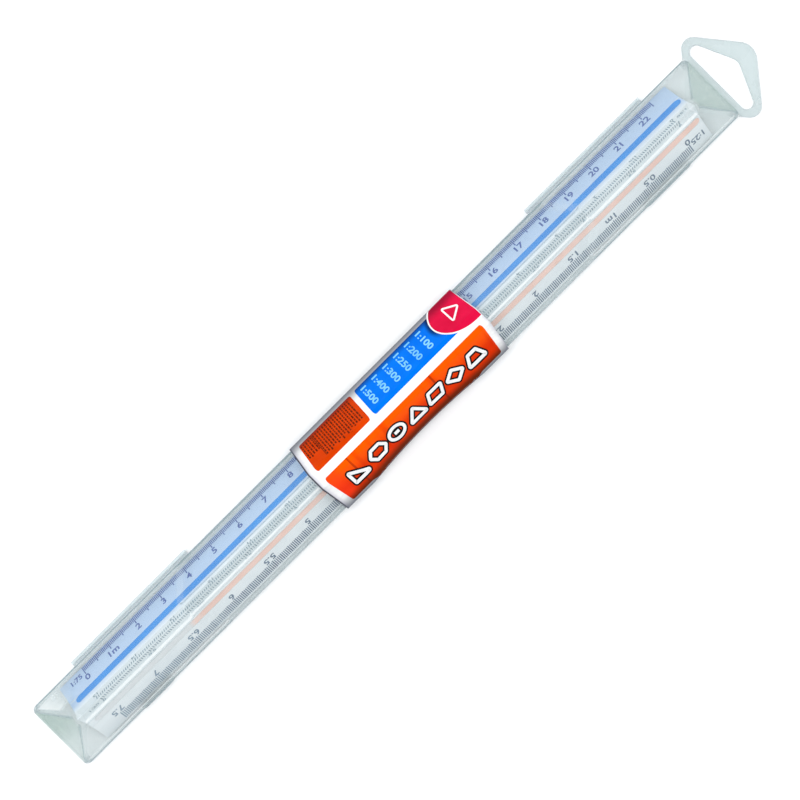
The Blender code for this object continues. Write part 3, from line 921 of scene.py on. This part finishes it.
def stroke(line, width, closed):
    """A line of (u, v) points as a band of quads: points, faces and rim edges."""
    ends = line[1:] + line[:1] if closed else line[1:]
    split = []
    for first, second in zip(line, ends):
        parts = math.ceil(math.dist(first, second) / 0.9)
        split += [tuple(Vector(first).lerp(Vector(second), n / parts)) for n in range(parts)]
    line = split if closed else split + line[-1:]
    count = len(line)
    left, right = [], []
    for i in range(count):
        here = Vector(line[i])
        first = (here - Vector(line[i - 1])).normalized() if i > 0 or closed else None
        second = (Vector(line[(i + 1) % count]) - here).normalized() if i < count - 1 or closed else None
        tail = Vector((0.0, 0.0))
        if first is None:
            tail = -second * width / 2
        if second is None:
            tail = first * width / 2
        first = first or second
        second = second or first
        side = Vector((-first.y, first.x))
        miter = (side + Vector((-second.y, second.x))).normalized()
        reach = width / 2 / max(miter.dot(side), 0.5)
        left.append(tuple(here + miter * reach + tail))
        right.append(tuple(here - miter * reach + tail))
    last = count if closed else count - 1
    shapes = [[i, (i + 1) % count, count + (i + 1) % count, count + i] for i in range(last)]
    rims = [[i, (i + 1) % count] for i in range(last)]
    rims += [[count + i, count + (i + 1) % count] for i in range(last)]
    if not closed:
        rims += [[0, count], [count - 1, 2 * count - 1]]
    return left + right, shapes, rims


def oval(half_u, half_v, steps=28):
    turns = [math.radians(360 * n / steps) for n in range(steps)]
    return [(half_u * math.cos(turn), half_v * math.sin(turn)) for turn in turns]


def plain_signs():
    """Seven plain signs, each a list of (closed, line) strokes."""
    outlines = (
        [(-3.9, -2.3), (3.9, -2.3), (-3.9, 2.4)],
        [(-4.1, 0.0), (-2.1, -2.2), (2.1, -2.2), (4.1, 0.0), (2.1, 2.2), (-2.1, 2.2)],
        [(-4.0, -2.3), (4.0, -2.3), (0.0, 2.5)],
        [(-4.1, -2.0), (2.3, -2.0), (4.1, 2.0), (-2.3, 2.0)],
        [(-4.0, 0.0), (0.0, -2.5), (4.0, 0.0), (0.0, 2.5)],
        [(-4.1, -2.0), (4.1, -2.0), (2.0, 2.0), (-2.0, 2.0)])
    signs = [[(True, closed_fillet(line, [0.3] * len(line), 4))] for line in outlines]
    signs.insert(2, [(True, oval(3.6, 2.4)), (False, [(-0.5, 0.0), (0.5, 0.0)])])
    return signs


def print_piece(name, material, stamps):
    """One printed piece from flat shapes: stamps holds (shape, place, lift)."""
    vertices, faces = [], []
    for shape, place, lift in stamps:
        stamp(vertices, faces, shape, place, lift, PRINT)
    mesh = clean(mesh_from(name, vertices, faces))
    finish_piece(new_object(name, mesh, material), "tray", "label_print")


def rectangle(half_u, half_v):
    points = [(-half_u, -half_v), (half_u, -half_v), (half_u, half_v), (-half_u, half_v)]
    return points, [[0, 1, 2, 3]], [[0, 1], [1, 2], [2, 3], [3, 0]]


def card_painted_shade(nodes, color):
    """White card with painted shade: greyer at its cut ends, with a dark painted shadow line at their very
    edge, and darker where it folds down over the rim.
    """
    along = nodes.math("SUBTRACT", nodes.axis("X"), (CASE_X + (LABEL_ENDS[0] + LABEL_ENDS[1]) / 2) * MM)
    reach = nodes.math("MAXIMUM", nodes.math("SUBTRACT", 0.0, along), nodes.math("SUBTRACT", along, 0.8 * MM))
    slant = nodes.math("MULTIPLY_ADD", nodes.axis("Z"), -LABEL_RIDGE_EXTRA / LABEL_TOP, reach)
    # Painted shade at the cut ends, a painted shadow line at their edge, then painted shade down the fold
    color = nodes.mix(nodes.ramp(slant, 0.0398, 0.0423, 0.0, 0.6), color, linear(150, 148, 170))
    color = nodes.mix(nodes.ramp(slant, 0.04155, 0.04185, 0.0, 0.92), color, linear(52, 52, 64))
    return nodes.mix(nodes.ramp(nodes.axis("Z"), 0.0140, 0.0030, 0.0, 0.95), color, linear(92, 96, 106))


def badge_shadow(nodes, color):
    """The blue panel is deeper beside the badge, and where it folds."""
    parts = []
    for axis, middle, half in (("X", CASE_X + BADGE[0], BADGE[2]), ("Y", BADGE[1], BADGE[3])):
        away = nodes.math("SUBTRACT", nodes.axis(axis), middle * MM)
        parts.append(nodes.math("DIVIDE", away, half * MM))
    along, across = parts
    reach = nodes.math("MULTIPLY_ADD", along, along, nodes.math("MULTIPLY", across, across))
    share = nodes.math("MULTIPLY", nodes.ramp(reach, 1.45, 1.12, 0.0, 0.85),
                       nodes.ramp(nodes.axis("Y"), 0.004, 0.009))
    return fold_painted_shade()(nodes, nodes.mix(share, color, linear(6, 22, 58)))


def orange_painted_light(nodes, color):
    """Painted light on the orange print: a painted highlight towards the ridge and painted shade deeper down
    the face, with faint upright streaks and a redder left end.
    """
    height = nodes.axis("Z")
    along = nodes.math("SUBTRACT", nodes.axis("X"), CASE_X * MM)
    # Painted highlight: brighter towards the ridge
    color = nodes.mix(nodes.ramp(height, 0.0150, 0.0262), color, linear(246, 84, 2))
    streaks = nodes.ramp(nodes.noise(160.0, 2.0, (1.0, 0.03, 0.03)), 0.5, 0.72, 0.0, 0.45)
    color = nodes.mix(streaks, color, linear(188, 38, 4))
    color = nodes.mix(nodes.ramp(along, -0.0255, -0.0300, 0.0, 0.5), color, linear(240, 50, 24))
    for place in (-0.0222, 0.0205):
        near = nodes.math("ABSOLUTE", nodes.math("SUBTRACT", along, place))
        color = nodes.mix(nodes.ramp(near, 0.0006, 0.0002, 0.0, 0.55), color, linear(110, 20, 6))
    # Painted shade: darker towards the bottom, where the card folds down
    return nodes.mix(nodes.ramp(height, 0.0118, 0.0060, 0.0, 0.9), color, linear(70, 30, 8))


def build_badge(rim_ink, ink):
    """An oval cut off at the label's end, on a larger one that shows as its rim."""
    top = 30.6
    for name, material, grow, lift in (("label_badge_rim", rim_ink, 0.55, RIM_LIFT),
                                       ("label_badge", ink, 0.0, TOP_LIFT)):
        foot = BADGE[1] - BADGE[3] - grow

        def ends(t):
            s = foot + t * (top - foot)
            y = min(s, RIDGE_HALF) + max(0.0, s - RIDGE_HALF) * SLOPE_VIEW
            reach = 1.0 - ((y - BADGE[1]) / (BADGE[3] + grow)) ** 2
            return BADGE[0] - (BADGE[2] + grow) * math.sqrt(max(reach, 0.0)), 50.1 - 1.15 * t

        panel(name, material, foot, top, ends, 0.3, lift, 8,
              (0.01, 0.03, 0.14, 0.36, 0.6, 0.8, 1.0, 1.4, 1.9, 2.5, 3.1, 3.8))


def ratio_figures():
    """The column of ratios on the blue panel."""
    figures = []
    for n, ratio in enumerate((500, 400, 300, 250, 200, 100)):
        x = 0.4 + 5.7 * n
        figures.append((text_shapes(f"1:{ratio}", 2.5, 2.2),
                        lambda u, v, lift, x=x: label_point(x + v, 14.8 - u, lift), FIGURE_LIFT))
    return figures


def small_print():
    """Rows of dashes that stand for small print, with a thin rule across them."""
    draw = random.Random(7)
    rows = []
    for n in range(21):
        x, s = -31.6 + 1.2 * n, 23.4
        last = 6.0 if n > 4 else 12.5
        while s > last:
            word = draw.uniform(0.9, 2.6)
            middle = s - word / 2
            rows.append((rectangle(0.31, word / 2), lambda u, v, lift, x=x, middle=middle:
                         label_point(x + u, middle + v, lift), FIGURE_LIFT))
            s -= word + 0.55
    rows.append((rectangle(0.12, 9.6), lambda u, v, lift: label_point(-26.2 + u, 14.6 + v, lift), TOP_LIFT))
    return rows


def sign_strokes(width, height):
    """The row of signs along the front panel."""
    return [(stroke(line, width, closed), lambda u, v, lift, x=-22.2 + 10.0 * n:
             label_point(x + u, -13.9 + v / SLOPE_VIEW, lift), height)
            for n, lines in enumerate(plain_signs()) for closed, line in lines]


def build_label():
    def flat_ink(name, dark, light, scale, tone_and_painted_light=None):
        return printed(f"label_{name}", dark, light, scale, (0.4, 0.55), 0.006, tone_and_painted_light)

    card = flat_ink("white_card", (226, 226, 226), (236, 236, 235), 500.0, card_painted_shade)
    # The orange, blue, small orange and crimson prints carry painted shade where the card folds down; the
    # orange also a painted highlight towards the ridge, the blue a painted shadow beside the badge
    orange = flat_ink("orange_print", (206, 44, 0), (214, 52, 2), 160.0, orange_painted_light)
    blue = flat_ink("blue_print", (0, 106, 220), (2, 114, 228), 120.0, badge_shadow)
    small = flat_ink("small_orange_print", (196, 55, 2), (208, 62, 5), 150.0, fold_painted_shade())
    crimson = flat_ink("crimson_print", (202, 14, 58), (218, 20, 68), 90.0, fold_painted_shade(0.5))
    black = flat_ink("black_print", (8, 8, 10), (20, 17, 17), 200.0)
    brown = flat_ink("brown_print", (84, 28, 8), (108, 38, 12), 300.0)
    white = flat_ink("white_print", (226, 227, 228), (236, 237, 238), 200.0)
    pale = flat_ink("pale_print", (110, 184, 222), (132, 200, 232), 200.0)

    build_label_sheet(card)
    for name, material, s_low, s_high, left, right, columns in (
            ("orange", orange, -26.4, -1.5, (-31.6, -1.7), (46.5, 0.9), 72),
            ("small", small, 2.0, 25.0, (-33.1, 0.9), (-5.6, 0.3), 8),
            ("blue", blue, 2.0, 25.2, (-3.4, 0.4), (46.0, -2.0), 16)):
        panel(f"label_panel_{name}", material, s_low, s_high,
              lambda t: (left[0] + left[1] * t, right[0] + right[1] * t), 1.6, PANEL_LIFT, columns)
    build_badge(white, crimson)
    print_piece("label_ratio_figures", pale, ratio_figures())
    print_piece("label_small_print", brown, small_print())
    print_piece("label_sign_outline", black, sign_strokes(2.5, RIM_LIFT))
    print_piece("label_sign_fill", white, sign_strokes(1.25, TOP_LIFT))
    triangle = closed_fillet([(-3.2, -2.6), (3.2, -2.6), (0.0, 2.9)], [0.4] * 3, 4)
    print_piece("label_badge_sign", white, [
        (stroke(triangle, 0.7, True), lambda u, v, lift: label_point(44.0 + v, 15.5 - u / SLOPE_VIEW, lift),
         SIGN_LIFT)])


# -------- floor, lights, camera
def build_stage():
    scene = bpy.context.scene
    corners, shapes, _ = rectangle(4.0, 4.0)
    mesh = bpy.data.meshes.new("studio_floor")
    mesh.from_pydata([(x, y, 0.0) for x, y in corners], [], shapes)
    floor = add_object("studio_floor", mesh)
    floor.location.z = -0.05 * MM
    mesh.materials.append(printed("studio_paper", (250, 250, 250), (252, 252, 252), 3.0, (0.8, 0.9)))

    world = bpy.data.worlds.new("studio")
    world.use_nodes = True
    sky = world.node_tree.nodes["Background"].inputs
    sky["Color"].default_value = (0.96, 0.98, 1.0, 1.0)
    sky["Strength"].default_value = 0.95
    scene.world = world

    for name, place, size, power in (("key", (-0.5, 0.9, 1.6), 1.2, 14.0),
                                     ("fill", (0.7, -1.0, 1.4), 1.4, 8.0)):
        light = bpy.data.lights.new(name, "AREA")
        light.size = size
        light.energy = power
        lamp = add_object(name, light)
        lamp.location = place
        lamp.rotation_euler = (-Vector(place)).to_track_quat("-Z", "Y").to_euler()

    camera = bpy.data.cameras.new("camera")
    camera.lens = 131.9
    camera.sensor_width = 36.0
    camera.clip_start = 0.01
    holder = add_object("camera", camera)
    holder.location = (-3.6 * MM, -0.5 * MM, 1100.0 * MM)
    holder.rotation_euler = (0.0, 0.0, math.radians(-44.93))
    scene.camera = holder
    scene.view_settings.view_transform = "Standard"
    scene.cycles.transparent_max_bounces = 32


def main():
    build_tray()
    build_lid()
    build_webs()
    build_ruler()
    blue = printed("stripe_blue_ink", (0, 124, 206), (0, 134, 216), 120.0, gloss=0.1)
    # The orange stripe is painted pale at its left end: a painted reflection off the case's wall hides it
    # there
    orange = printed("stripe_orange_ink", (224, 182, 166), (230, 192, 178), 120.0, gloss=0.2,
                     tone_and_painted_light=pale_to_left(-0.1145, -0.1185, 0.93, (204, 210, 212)))
    green = printed("stripe_green_ink", (70, 166, 104), (86, 178, 118), 120.0, gloss=0.3)
    for face, (color, material) in enumerate((("blue", blue), ("orange", orange), ("green", green))):
        build_stripe(face, color, material)
    blue_ink = printed("scale_blue_ink", (4, 54, 140), (14, 68, 154), 400.0)
    # The grey ink is painted paler towards -X: a painted reflection off the case's wall
    grey_ink = printed("scale_grey_ink", (38, 68, 100), (56, 86, 116), 400.0,
                       tone_and_painted_light=pale_to_left(-0.080, -0.140, 0.4, (150, 174, 188)))
    ridge_ink = printed("scale_ridge_ink", (74, 100, 118), (90, 116, 132), 400.0)
    inks = [blue_ink, grey_ink, ridge_ink, ridge_ink, grey_ink, grey_ink]
    for number, (scale, ink) in enumerate(zip(SCALES, inks), 1):
        build_scale(f"scale_marks_{number}", scale, ink)
    build_label()
    build_stage()


main()
